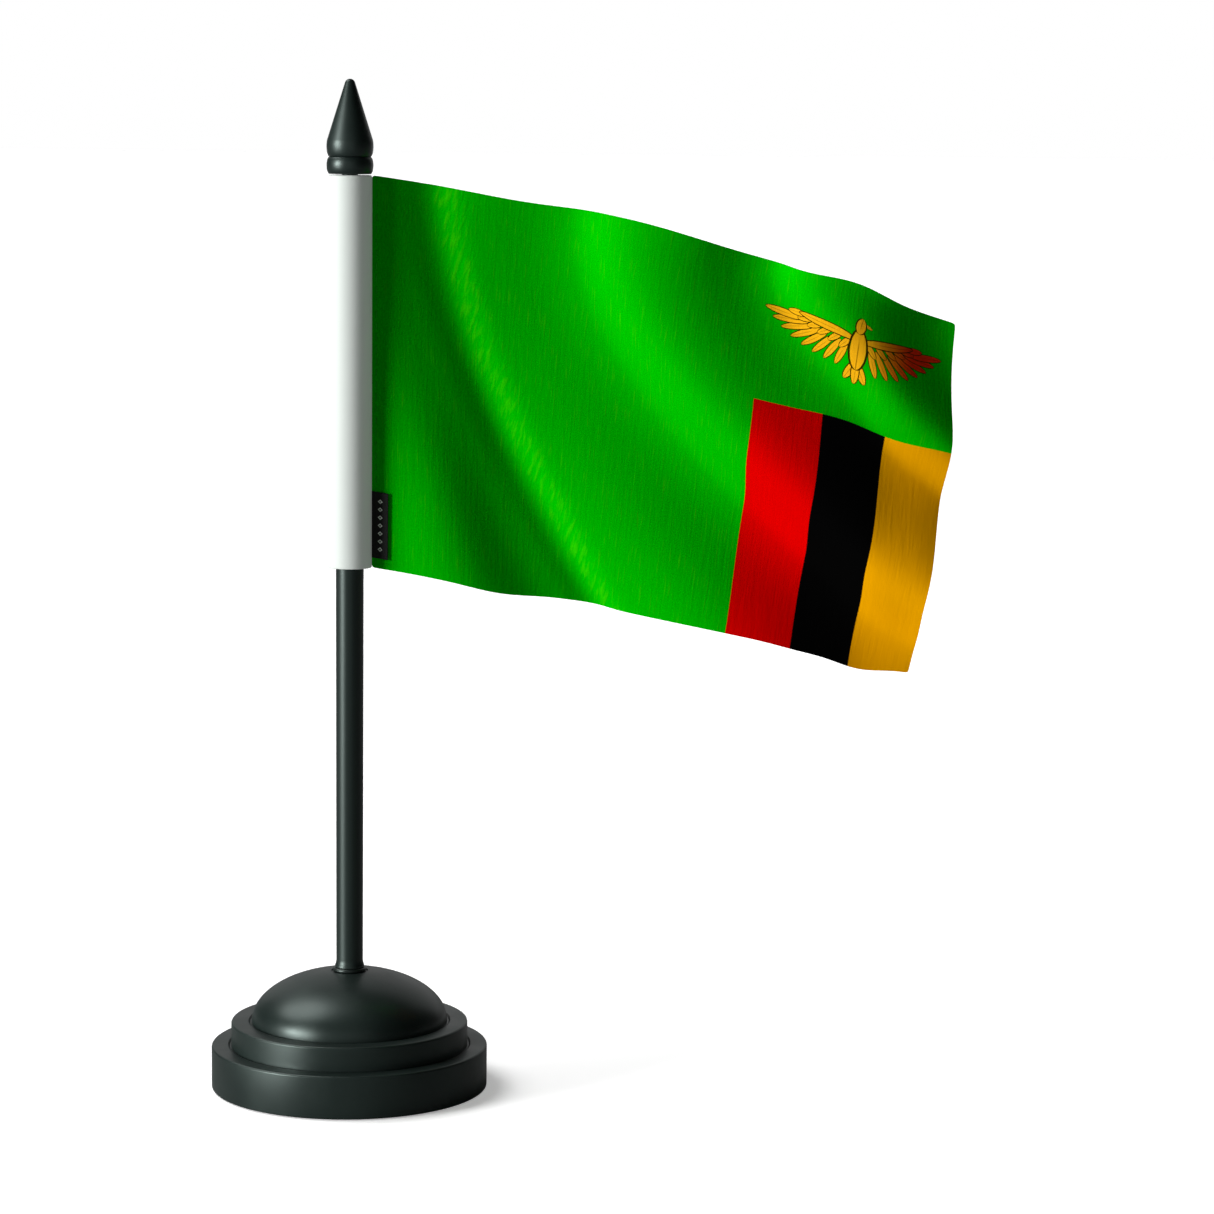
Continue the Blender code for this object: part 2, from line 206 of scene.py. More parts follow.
def newGroup(name, inputs, outputs):
    group = bpy.data.node_groups.new(name, "ShaderNodeTree")
    for label, kind, value in inputs:
        socket = group.interface.new_socket(label, in_out="INPUT", socket_type="NodeSocket" + kind)
        if value is not None:
            socket.default_value = value
    for label, kind in outputs:
        group.interface.new_socket(label, in_out="OUTPUT", socket_type="NodeSocket" + kind)
    start = group.nodes.new("NodeGroupInput")
    end = group.nodes.new("NodeGroupOutput")
    return group, start.outputs, end.inputs


def newMaterial(name, roughness=0.5, metallic=0.0):
    material = bpy.data.materials.new(name)
    material.use_nodes = True
    tree = material.node_tree
    shader = tree.nodes["Principled BSDF"]
    shader.inputs["Roughness"].default_value = roughness
    shader.inputs["Metallic"].default_value = metallic
    return material, tree, shader


def placeGroup(tree, group, **inputs):
    node = tree.nodes.new("ShaderNodeGroup")
    node.node_tree = group
    for key, value in inputs.items():
        if isinstance(value, bpy.types.NodeSocket):
            tree.links.new(value, node.inputs[key])
        else:
            node.inputs[key].default_value = value
    return node


# effects that several finishes share

def makeMouldedSkin():
    # moulding grain, slow blotches and fine scuffs in the gloss, and a little lint
    group, inputs, outputs = newGroup(
        "mouldedSkin",
        [
            ("point", "Vector", None),
            ("base", "Color", (0.02, 0.02, 0.02, 1.0)),
            ("haze", "Color", (0.05, 0.06, 0.055, 1.0)),
            ("grain", "Float", 2600.0),
            ("roughLow", "Float", 0.35),
            ("roughHigh", "Float", 0.5),
            ("depth", "Float", 0.12),
        ],
        [("colour", "Color"), ("roughness", "Float"), ("normal", "Vector")],
    )
    point = inputs["point"]
    fine = noise(group, point, inputs["grain"])
    slow = noise(group, point, 60.0, 4.0)
    blotch = remap(group, slow, 0.35, 0.7)
    speck = addNode(group, "ShaderNodeTexVoronoi", {"Vector": point, "Scale": 420.0})
    lint = remap(group, speck.outputs["Distance"], 0.05, 0.11, 1.0, 0.0)
    lint = maths(group, "MULTIPLY", lint, remap(group, slow, 0.58, 0.75))
    scuff = remap(group, noise(group, stretch(group, point, (900.0, 900.0, 90.0), 25.0)), 0.68, 0.76)
    tone = mixColour(group, maths(group, "MULTIPLY", blotch, 0.25), inputs["base"], inputs["haze"])
    tone = mixColour(group, maths(group, "MULTIPLY", lint, 0.35), tone, inputs["haze"])
    group.links.new(tone, outputs["colour"])
    mottle = maths(group, "MULTIPLY_ADD", fine, 0.4, blotch)
    mottle = maths(group, "MULTIPLY_ADD", scuff, 0.5, mottle)
    ends = {"Value": mottle, "From Max": 1.5, "To Min": inputs["roughLow"], "To Max": inputs["roughHigh"]}
    group.links.new(addNode(group, "ShaderNodeMapRange", ends).outputs["Result"], outputs["roughness"])
    group.links.new(bump(group, fine, inputs["depth"], 0.00002), outputs["normal"])
    return group


def makeThreadWeave():
    # plain weave from two crossed rows of threads; the point's X and Y count threads
    group, inputs, outputs = newGroup(
        "threadWeave",
        [("point", "Vector", None), ("uneven", "Float", 0.3)],
        [("height", "Float")],
    )
    split = addNode(group, "ShaderNodeSeparateXYZ", {0: inputs["point"]})
    slub = noise(group, inputs["point"], 0.13, 3.0)
    drift = maths(group, "MULTIPLY", maths(group, "SUBTRACT", slub, 0.5), inputs["uneven"])
    waves = []
    for axis in ("X", "Y"):
        counted = maths(group, "ADD", split.outputs[axis], drift)
        waves.append(maths(group, "SINE", maths(group, "MULTIPLY", counted, math.pi)))
    over = maths(group, "MULTIPLY", waves[0], waves[1])
    group.links.new(maths(group, "POWER", maths(group, "ABSOLUTE", over), 0.5), outputs["height"])
    return group


mouldedSkin = makeMouldedSkin()
threadWeave = makeThreadWeave()


# each finish: its colour, its hazed colour, lowest and highest roughness, the grain's scale and depth,
# and whether it is a metal
finishes = {
    "blackPlastic": ((0.0045, 0.0082, 0.0072), (0.011, 0.019, 0.016), 0.34, 0.46, 2600.0, 0.12, False),
    "bushPlastic": ((0.0040, 0.0060, 0.0055), (0.010, 0.015, 0.013), 0.30, 0.45, 2600.0, 0.12, False),
    "platePlastic": ((0.022, 0.022, 0.022), (0.050, 0.050, 0.050), 0.50, 0.65, 1400.0, 0.5, False),
    "padFoam": ((0.025, 0.025, 0.026), (0.060, 0.060, 0.060), 0.85, 0.98, 1500.0, 1.0, False),
    "ballastSteel": ((0.33, 0.31, 0.29), (0.20, 0.14, 0.10), 0.40, 0.65, 900.0, 0.2, True),
    "screwZinc": ((0.62, 0.62, 0.60), (0.45, 0.44, 0.40), 0.22, 0.40, 900.0, 0.2, True),
}


plasticGloss = {
    "tint": (0.82, 1.0, 0.94, 1.0),
    "level": 0.42,
}


def mouldedFinish(name, drawn=1.0):
    # drawn under 1 pulls the pattern out along Z, as on an extruded tube
    base, haze, roughLow, roughHigh, grain, depth, metal = finishes[name]
    material, tree, shader = newMaterial(name, metallic=1.0 if metal else 0.0)
    if not metal:
        shader.inputs["Specular Tint"].default_value = plasticGloss["tint"]
        shader.inputs["Specular IOR Level"].default_value = plasticGloss["level"]
    coords = addNode(tree, "ShaderNodeTexCoord")
    skin = placeGroup(
        tree,
        mouldedSkin,
        point=stretch(tree, coords.outputs["Object"], (1.0, 1.0, drawn)),
        base=(*base, 1.0),
        haze=(*haze, 1.0),
        grain=grain,
        roughLow=roughLow,
        roughHigh=roughHigh,
        depth=depth,
    )
    tree.links.new(skin.outputs["colour"], shader.inputs["Base Color"])
    tree.links.new(skin.outputs["roughness"], shader.inputs["Roughness"])
    tree.links.new(skin.outputs["normal"], shader.inputs["Normal"])
    return material


blackPlastic = mouldedFinish("blackPlastic")
polePlastic = mouldedFinish("blackPlastic", 0.06)
polePlastic.name = "polePlastic"
bushPlastic = mouldedFinish("bushPlastic")
platePlastic = mouldedFinish("platePlastic")
padFoam = mouldedFinish("padFoam")
ballastSteel = mouldedFinish("ballastSteel")
screwZinc = mouldedFinish("screwZinc")
print("finishes ready")


underside = {
    "postCircle": 30.2 * mm,
    "postAngles": (90.0, 210.0, 330.0),
    "postRadius": 2.8 * mm,
    "pilot": 1.35 * mm,
    "pilotDepth": 5.2 * mm,
    "postTop": 10.3 * mm,
    "padHole": 3.2 * mm,
    "plateHole": 1.45 * mm,
    "counterbore": 2.9 * mm,
    "counterboreDepth": 1.5 * mm,
    "headHeight": 1.2 * mm,
    "head": 2.4 * mm,
    "shank": 1.15 * mm,
    "threadPitch": 0.8 * mm,
    "threadRoot": 0.78,       # shares of the shank's radius
    "neck": 0.9,
    "tip": 0.3,
    "threadFlank": 0.45,      # share of the pitch
    "turnStep": 37.0,
    "recessArm": 2.6 * mm,
    "recessWidth": 0.55 * mm,
    "recessDepth": 0.75 * mm,
}


def rodsOnScrewCircle(radius, bottom, top):
    rods = []
    for angle in underside["postAngles"]:
        turn = math.radians(angle)
        x = underside["postCircle"] * math.cos(turn)
        y = underside["postCircle"] * math.sin(turn)
        selectNothing()
        bpy.ops.mesh.primitive_cylinder_add(
            vertices=32, radius=radius, depth=top - bottom, location=(x, y, (top + bottom) / 2)
        )
        rods.append(newPiece("rod"))
    joined = joinPieces("rods", rods)
    bpy.ops.object.transform_apply(location=True, rotation=True, scale=True)
    return joined


shellShape = {
    "tierRadius": 30.7 * mm,
    "domeRadius": 25.4 * mm,
    "discTop": 11.4 * mm,
    "tierTop": 17.6 * mm,
    "domeRise": 13.3 * mm,
    "seat": 30.35 * mm,
    "seatRadius": 4.8 * mm,
    "socketRadius": 4.1 * mm,
    "socketFloor": 6.4 * mm,
    "bossRadius": 6.6 * mm,
    "bossFoot": 4.2 * mm,
    "ribOuter": 21.0 * mm,
    "ribInner": 19.0 * mm,
    "wall": 2.2 * mm,
    "edge": 0.6 * mm,
    "crease": 0.42 * mm,
    "footEdge": 0.35 * mm,
    "ribGap": 0.25 * mm,
    "postGap": 0.15 * mm,
    "turns": 144,
}


def stepOutline(radius, top, nextRadius):
    # a flat tread with a rounded edge, and the fine groove where the wall above or below meets it
    edge = shellShape["edge"]
    crease = shellShape["crease"]
    points = [
        (nextRadius, top - crease),
        (nextRadius + crease, top - crease),
        (nextRadius + 2 * crease, top),
        (radius - edge, top),
    ]
    return points + arcPoints((radius - edge, top - edge), (edge, edge), 75.0, 0.0, 6)


def buildBaseShell():
    s = shellShape
    low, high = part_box("base_shell")
    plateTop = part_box("bottom_plate")[1].z
    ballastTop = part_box("ballast_ring")[1].z
    radius, foot = high.x, low.z
    innerRadius = s["domeRadius"] - s["wall"]
    innerRise = s["domeRise"] - s["wall"]
    roof = s["tierTop"] - s["wall"]

    def angleAt(reach, full):
        return math.degrees(math.acos(reach / full))

    outline = [
        (0.0, s["socketFloor"]),
        (s["socketRadius"], s["socketFloor"]),
        (s["socketRadius"], s["seat"]),
        (s["seatRadius"], s["seat"]),
    ]
    domeStart = angleAt(s["seatRadius"], s["domeRadius"])
    outline += arcPoints((0.0, s["tierTop"]), (s["domeRadius"], s["domeRise"]), domeStart, 0.0, 44)
    outline += stepOutline(s["tierRadius"], s["tierTop"], s["domeRadius"])
    outline += stepOutline(radius, s["discTop"], s["tierRadius"])
    soft = s["footEdge"]
    outline += arcPoints((radius - soft, foot + soft), (soft, soft), 0.0, -90.0, 4)
    outline += [
        (radius - s["wall"], foot),
        (radius - s["wall"], s["discTop"] - s["wall"]),
        (s["tierRadius"] - s["wall"], s["discTop"] - s["wall"]),
        (s["tierRadius"] - s["wall"], roof),
        (innerRadius, roof),
    ]
    ribOuterAngle = angleAt(s["ribOuter"], innerRadius)
    outline += arcPoints((0.0, s["tierTop"]), (innerRadius, innerRise), 0.0, ribOuterAngle, 6)
    ribFoot = ballastTop + s["ribGap"]
    outline += [(s["ribOuter"], ribFoot), (s["ribInner"], ribFoot)]
    ribInnerAngle = angleAt(s["ribInner"], innerRadius)
    bossAngle = angleAt(s["bossRadius"], innerRadius)
    outline += arcPoints((0.0, s["tierTop"]), (innerRadius, innerRise), ribInnerAngle, bossAngle, 10)
    outline += [(s["bossRadius"], s["bossFoot"]), (0.0, s["bossFoot"])]
    shell = spunShape("baseShell", outline, s["turns"])
    postFoot = plateTop + s["postGap"]
    combine(shell, rodsOnScrewCircle(underside["postRadius"], postFoot, underside["postTop"]), "UNION")
    pilots = rodsOnScrewCircle(underside["pilot"], postFoot - mm, postFoot + underside["pilotDepth"])
    combine(shell, pilots, "DIFFERENCE")
    smoothByAngle(shell)
    dress(shell, blackPlastic, "base", "shell_plastic", "base_shell")


def buildFootPad():
    low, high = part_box("foot_pad")
    radius = high.x
    soft = 0.3 * mm
    outline = [(0.0, high.z), (radius - soft, high.z)]
    outline += arcPoints((radius - soft, high.z - soft), (soft, soft), 60.0, 0.0, 3)
    outline += arcPoints((radius - soft, low.z + soft), (soft, soft), 0.0, -90.0, 4)
    outline.append((0.0, low.z))
    pad = spunShape("footPad", outline, 128)
    combine(pad, rodsOnScrewCircle(underside["padHole"], low.z - mm, high.z + mm), "DIFFERENCE")
    smoothByAngle(pad)
    dress(pad, padFoam, "base", "pad_foam", "foot_pad")


def buildBottomPlate():
    low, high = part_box("bottom_plate")
    radius = high.x
    edge = 0.25 * mm
    outline = [(0.0, high.z), (radius - edge, high.z), (radius, high.z - edge), (radius, low.z + edge)]
    outline += [(radius - edge, low.z), (0.0, low.z)]
    plate = spunShape("bottomPlate", outline, 128)
    combine(plate, rodsOnScrewCircle(underside["plateHole"], low.z - mm, high.z + mm), "DIFFERENCE")
    recess = rodsOnScrewCircle(underside["counterbore"], low.z - mm, low.z + underside["counterboreDepth"])
    combine(plate, recess, "DIFFERENCE")
    smoothByAngle(plate)
    dress(plate, platePlastic, "base", "plate_plastic", "bottom_plate")


def buildScrews():
    # a domed cross-recessed screw on the Z axis, then one copy for each post
    u = underside
    low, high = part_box("plate_screw_1")
    seat = low.z + u["headHeight"]
    outline = [(0.0, high.z), (u["shank"] * u["tip"], high.z - 0.2 * mm)]
    height = high.z - 1.0 * mm
    while height > seat + u["threadPitch"]:
        outline.append((u["shank"] * u["threadRoot"], height + u["threadPitch"] * u["threadFlank"]))
        outline.append((u["shank"], height))
        height -= u["threadPitch"]
    outline.append((u["shank"] * u["threadRoot"], seat + 0.2 * mm))
    outline += [(u["shank"] * u["neck"], seat), (u["head"], seat)]
    outline += arcPoints((0.0, seat - 0.2 * mm), (u["head"], u["headHeight"] - 0.2 * mm), 0.0, -90.0, 10)
    screw = spunShape("screwModel", outline, 40)
    arms = []
    for turn in (0.0, 90.0):
        selectNothing()
        bpy.ops.mesh.primitive_cube_add(size=1.0, location=(0, 0, low.z + u["recessDepth"] / 2 - 0.1 * mm))
        arm = newPiece("arm")
        arm.scale = (u["recessArm"], u["recessWidth"], u["recessDepth"] + 0.2 * mm)
        arm.rotation_euler.z = math.radians(turn)
        bpy.ops.object.transform_apply(location=True, rotation=True, scale=True)
        arms.append(arm)
    for arm in arms:
        combine(screw, arm, "DIFFERENCE")
    smoothByAngle(screw)
    for number, angle in enumerate(u["postAngles"], start=1):
        turn = math.radians(angle)
        place = Vector((u["postCircle"] * math.cos(turn), u["postCircle"] * math.sin(turn), 0.0))
        move = Matrix.Translation(place) @ Matrix.Rotation(math.radians(u["turnStep"] * number), 4, "Z")
        twin = copyPiece(screw, f"plateScrew{number}", move)
        dress(twin, screwZinc, "base", "screw_zinc", f"plate_screw_{number}")
    bpy.data.objects.remove(screw, do_unlink=True)


ballastShape = {
    "bore": 8.0 * mm,
    "boreEdge": 0.3 * mm,
    "roll": 0.8 * mm,
    "lowerEdge": 0.15 * mm,
}


def buildBallast():
    # a stamped ring: rolled-over upper edge, sharp lower edge
    bore, boreEdge = ballastShape["bore"], ballastShape["boreEdge"]
    roll, lowerEdge = ballastShape["roll"], ballastShape["lowerEdge"]
    low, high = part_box("ballast_ring")
    radius = high.x
    outline = [(bore + boreEdge, high.z), (radius - roll, high.z)]
    outline += arcPoints((radius - roll, high.z - roll), (roll, roll), 75.0, 0.0, 5)
    outline += [(radius, low.z + lowerEdge), (radius - lowerEdge, low.z)]
    outline += [(bore, low.z), (bore, high.z - boreEdge)]
    ring = spunShape("ballastRing", outline, 96, closed=True)
    dress(ring, ballastSteel, "base", "ballast_steel", "ballast_ring")


buildBaseShell()
buildFootPad()
buildBottomPlate()
buildScrews()
buildBallast()
print("base built")


bushShape = {
    "flange": 1.1 * mm,
    "flangeHalf": 0.55 * mm,
    "bore": 3.15 * mm,
    "lining": 3.9 * mm,
    "lip": 0.5 * mm,
    "turns": 72,
}

poleShape = {
    "footRadius": 3.45 * mm,
    "topRadius": 3.7 * mm,
    "flare": 0.35 * mm,
    "bore": 2.3 * mm,
    "boreDepth": 195.0 * mm,
    "spigot": 3.0 * mm,
    "shoulder": 31.75 * mm,
    "rim": 0.25 * mm,
    "flareTop": 2.0 * mm,
    "spigotEdge": 0.5 * mm,
    "turns": 72,
}

finialShape = {
    "radius": 5.95 * mm,
    "tip": 1.35 * mm,
    "groove": 5.2 * mm,
    "grooveHeight": 4.35 * mm,
    "shoulderHeight": 7.0 * mm,
    "pin": 2.05 * mm,
    "pinLength": 11.5 * mm,
    "pinEdge": 0.4 * mm,
    "turns": 72,
}


def buildBush():
    low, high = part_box("socket_bush")
    seat = high.z - bushShape["flange"]
    bore, lining, lip = bushShape["bore"], bushShape["lining"], bushShape["lip"]
    half = bushShape["flangeHalf"]
    outline = [(bore, high.z), (high.x - lip, high.z)]
    outline += arcPoints((high.x - lip, seat + half), (lip, half), 75.0, -75.0, 8)
    outline += [(high.x - lip, seat), (lining, seat), (lining, low.z), (bore, low.z)]
    bush = spunShape("socketBush", outline, bushShape["turns"], closed=True)
    dress(bush, bushPlastic, "bush", "bush_plastic", "socket_bush")


def buildPole():
    s = poleShape
    low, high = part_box("pole")
    shoulder = s["shoulder"]
    outline = [
        (0.0, high.z - s["boreDepth"]),
        (s["bore"], high.z - s["boreDepth"]),
        (s["bore"], high.z),
        (s["topRadius"] - s["rim"], high.z),
        (s["topRadius"], high.z - s["rim"]),
        (s["footRadius"], shoulder + s["flareTop"]),
    ]
    for step in range(1, 6):
        share = step / 5
        height = shoulder + s["flareTop"] - share * 1.65 * mm
        outline.append((s["footRadius"] + s["flare"] * share**2, height))
    outline += [
        (s["footRadius"] + s["flare"], shoulder),
        (s["spigot"], shoulder),
        (s["spigot"], low.z + s["spigotEdge"]),
        (s["spigot"] - s["spigotEdge"], low.z),
        (0.0, low.z),
    ]
    pole = spunShape("poleTube", outline, s["turns"])
    dress(pole, polePlastic, "pole", "pole_plastic", "pole")


def buildFinial():
    s = finialShape
    low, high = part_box("finial")
    base = low.z + s["pinLength"]
    swell = s["radius"] - s["groove"]
    bead = s["grooveHeight"] / 2
    shoulder = s["shoulderHeight"] - s["grooveHeight"]
    outline = arcPoints((0.0, high.z - s["tip"]), (s["tip"], s["tip"]), 90.0, 16.0, 8)
    outline += arcPoints((s["groove"], base + s["shoulderHeight"]), (swell, shoulder), 36.0, -80.0, 18)
    outline.append((s["groove"], base + s["grooveHeight"]))
    outline += arcPoints((s["groove"], base + bead), (swell, bead), 78.0, -78.0, 16)
    outline += [(s["groove"], base), (s["pin"], base), (s["pin"], low.z + s["pinEdge"])]
    outline += [(s["pin"] - s["pinEdge"], low.z), (0.0, low.z)]
    finial = spunShape("finialCone", outline, s["turns"])
    dress(finial, blackPlastic, "finial", "finial_plastic", "finial")


buildBush()
buildPole()
buildFinial()
print("pole and finial built")


cloth = {
    "fly": 160.0 * mm,
    "hoist": 100.0 * mm,
    "columns": 128,
    "rows": 80,
    "threadSteps": 320,
    "thickness": 0.22 * mm,
    "drop": 22.0 * mm,        # how far the fly end of the top edge hangs below its hoist end
    "sag": 15.0 * mm,
    "lift": 9.0 * mm,
    "relax": 7.0 * mm,
    "gather": 0.12,
    "evenAt": 0.25,           # how far down a thread is neither drawn in nor let out
}

# the folds fan out from the top of the hoist: where a fold's line meets the top edge and the bottom
# edge, how late it bends outwards, its width on the left and on the right, and its depth away from
# the front at the top edge and at the bottom edge, in mm
clothFolds = [
    (8.0, 20.0, 1.0, 14.0, 16.0, 0.5, -1.0),
    (12.0, 56.0, 1.6, 16.0, 28.0, 3.0, 9.0),
    (15.0, 66.0, 1.6, 6.0, 5.0, 2.0, 3.0),
    (50.0, 174.0, 2.1, 22.0, 12.0, 7.0, 15.0),
    (104.0, 290.0, 1.75, 18.0, 10.0, 8.0, 9.0),
    (163.0, 290.0, 1.4, 24.0, 30.0, 16.0, 30.0),
]

# where the cloth is also lifted or sags: how far out along the thread, the half width, and the rise at
# the top edge and at the bottom edge, in mm
clothRipples = [
    (38.0, 14.0, -0.4, -1.4),
    (67.0, 20.0, 1.3, -0.3),
    (128.0, 10.0, 1.2, -0.6),
    (145.0, 10.0, -0.4, -2.0),
]


def foldDepth(out, down):
    # out is metres along the thread, and down is 0 at the top edge and 1 at the bottom edge
    depth = np.zeros_like(out)
    for top, bottom, bend, left, right, topDepth, bottomDepth in clothFolds:
        aside = out - (top + (bottom - top) * down**bend) * mm
        lean = (bottom - top) * mm * bend * down ** (bend - 1.0) / cloth["hoist"]
        width = np.where(aside < 0.0, left, right) * mm
        distance = aside / math.sqrt(1.0 + lean * lean) / width
        depth += (topDepth + (bottomDepth - topDepth) * down) * mm * np.exp(-(distance**2))
    return depth * (1.0 - np.exp(-out / cloth["relax"]))


def hangThreads(columns, rows):
    # every thread is walked outwards in short steps that keep its length, and is then drawn in a little
    # below evenAt and let out above it
    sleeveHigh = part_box("flag_sleeve")[1]
    out = np.linspace(0.0, cloth["fly"], cloth["threadSteps"] + 1)
    at = np.linspace(0.0, cloth["fly"], columns + 1)
    share = out / cloth["fly"]
    points = np.zeros((columns + 1, rows + 1, 3))
    for row in range(rows + 1):
        down = 1.0 - row / rows
        depth = foldDepth(out, down)
        droop = cloth["drop"] * share + (cloth["sag"] - cloth["lift"] * down) * share**2
        for centre, width, topRise, bottomRise in clothRipples:
            rise = (topRise + (bottomRise - topRise) * down) * mm
            droop -= rise * np.exp(-(((out - centre * mm) / (width * mm)) ** 2))
        pace = np.sqrt(np.maximum(np.diff(out) ** 2 - np.diff(depth) ** 2 - np.diff(droop) ** 2, 0.0))
        gather = 1.0 + cloth["gather"] * (cloth["evenAt"] - down)
        reach = np.concatenate([[0.0], np.cumsum(pace)]) * gather
        points[:, row, 0] = sleeveHigh.x + np.interp(at, out, reach)
        points[:, row, 1] = np.interp(at, out, depth)
        points[:, row, 2] = sleeveHigh.z - cloth["hoist"] * down - np.interp(at, out, droop)
    return points


def gridPoint(points, across, up):
    # a place on the cloth from its share across and up
    columns, rows = points.shape[0] - 1, points.shape[1] - 1
    x = min(max(across, 0.0), 1.0) * columns
    y = min(max(up, 0.0), 1.0) * rows
    i, j = min(int(x), columns - 1), min(int(y), rows - 1)
    fx, fy = x - i, y - j
    bottom = points[i, j] * (1 - fx) + points[i + 1, j] * fx
    top = points[i, j + 1] * (1 - fx) + points[i + 1, j + 1] * fx
    return bottom * (1 - fy) + top * fy


def gridNormal(points, across, up):
    # towards the front of the cloth
    reach = 0.008
    right = gridPoint(points, across + reach, up) - gridPoint(points, across - reach, up)
    rise = gridPoint(points, across, up + reach) - gridPoint(points, across, up - reach)
    normal = np.cross(right, rise)
    return normal / np.linalg.norm(normal)


def buildClothGrid(name, points):
    columns, rows = points.shape[0] - 1, points.shape[1] - 1
    selectNothing()
    bpy.ops.mesh.primitive_grid_add(x_subdivisions=columns, y_subdivisions=rows, size=1.0)
    sheet = newPiece(name)
    for vertex in sheet.data.vertices:
        i = round((vertex.co.x + 0.5) * columns)
        j = round((vertex.co.y + 0.5) * rows)
        vertex.co = points[i, j]
    return sheet


def makeFeatherMark():
    # one printed leaf shape: its root, turn and (length, half width), in the point's own units
    group, inputs, outputs = newGroup(
        "featherMark",
        [(label, "Vector", None) for label in ("point", "root", "turn", "size")],
        [("ink", "Float"), ("line", "Float")],
    )
    ends = {"Vector": inputs["point"], "Location": inputs["root"]}
    ends.update({"Rotation": inputs["turn"], "Scale": inputs["size"]})
    place = addNode(group, "ShaderNodeMapping", ends, vector_type="TEXTURE")
    split = addNode(group, "ShaderNodeSeparateXYZ", {0: place.outputs["Vector"]})
    along, aside = split.outputs["X"], maths(group, "ABSOLUTE", split.outputs["Y"])
    span = maths(group, "MULTIPLY", along, maths(group, "SUBTRACT", 1.0, along))
    belly = maths(group, "SQRT", maths(group, "MAXIMUM", span, 0.0))
    outside = maths(group, "MINIMUM", span, 0.0)
    beyond = maths(group, "MULTIPLY_ADD", outside, 8.0, maths(group, "MULTIPLY", aside, -1.0))
    inside = maths(group, "MULTIPLY_ADD", belly, 2.0, beyond)
    ink = remap(group, inside, 0.10, 0.20)
    shaft = remap(group, aside, 0.03, 0.09, 1.0, 0.0)
    shaft = maths(group, "MULTIPLY", shaft, remap(group, along, 0.2, 0.5))
    group.links.new(ink, outputs["ink"])
    edge = maths(group, "SUBTRACT", remap(group, inside, -0.12, -0.04), ink)
    vein = maths(group, "MULTIPLY", maths(group, "MULTIPLY", shaft, ink), 0.55)
    group.links.new(maths(group, "MAXIMUM", edge, vein), outputs["line"])
    return group


# the printed bird, a plain soaring one, in mm from its breast
bird = {
    "centre": (131.0, 82.5),
    "primaries": 8,
    "coverts": 6,
    "gold": (0.72, 0.35, 0.006),
    "ember": (0.60, 0.02, 0.0),
    "line": (0.02, 0.012, 0.0),
}


def birdFeathers():
    # each mark: its root, its turn in degrees, its length and its half width
    feathers = []

    def wing(side, x, y, turn, length, half):
        feathers.append((side * x, y, turn if side > 0 else 180.0 - turn, length, half))

    for side in (-1, 1):
        for step in range(bird["primaries"]):
            share = step / (bird["primaries"] - 1)
            turn, length = -68.0 + 74.0 * share, 7.0 + 3.2 * share
            wing(side, 3.0 + 12.5 * share, 1.5 + 3.2 * share, turn, length, 1.0)
        for step in range(bird["coverts"]):
            share = step / (bird["coverts"] - 1)
            turn, length = -48.0 + 52.0 * share, 4.2 + 1.2 * share
            wing(side, 2.2 + 12.0 * share, 3.0 + 3.0 * share, turn, length, 0.9)
        wing(side, 0.5, 2.8, 13.0, 16.5, 1.15)
    for turn in (-62.0, -118.0, -90.0):
        feathers.append((0.0, -2.6, turn, 6.2, 1.2))
    feathers.append((0.0, 6.0, -90.0, 11.0, 2.5))
    feathers.append((1.2, 7.6, -14.0, 2.3, 0.45))
    feathers.append((-0.3, 4.6, 78.0, 4.4, 1.5))
    return feathers


def birdPrint(tree, uv, ground):
    point = stretch(tree, uv, (cloth["fly"] / mm, cloth["hoist"] / mm, 1.0))
    split = addNode(tree, "ShaderNodeSeparateXYZ", {0: point})
    right = remap(tree, split.outputs["X"], bird["centre"][0] + 2.0, bird["centre"][0] + 17.0)
    ink = mixColour(tree, right, bird["gold"], bird["ember"])
    tone = ground
    for x, y, turn, length, half in birdFeathers():
        mark = placeGroup(
            tree,
            featherMark,
            point=point,
            root=(bird["centre"][0] + x, bird["centre"][1] + y, 0.0),
            turn=(0.0, 0.0, math.radians(turn)),
            size=(length, half, 1.0),
        )
        tone = mixColour(tree, mark.outputs["ink"], tone, ink)
        tone = mixColour(tree, mark.outputs["line"], tone, bird["line"])
    return tone


# the bars' left edges are shares of the fly, and their top is a share of the hoist
flagPrint = {
    "redFrom": 0.655,
    "blackFrom": 0.775,
    "orangeFrom": 0.887,
    "barsTop": 0.635,
    "blur": 0.0008,
    "green": (0.0, 0.37, 0.0),
    "paintedStreakSheenGreen": (0.03, 0.42, 0.0),
    "paintedRuckSheenGreen": (0.03, 0.46, 0.0),
    "red": (0.60, 0.0, 0.0),
    "black": (0.0012, 0.0012, 0.0012),
    "orange": (0.66, 0.29, 0.0),
}


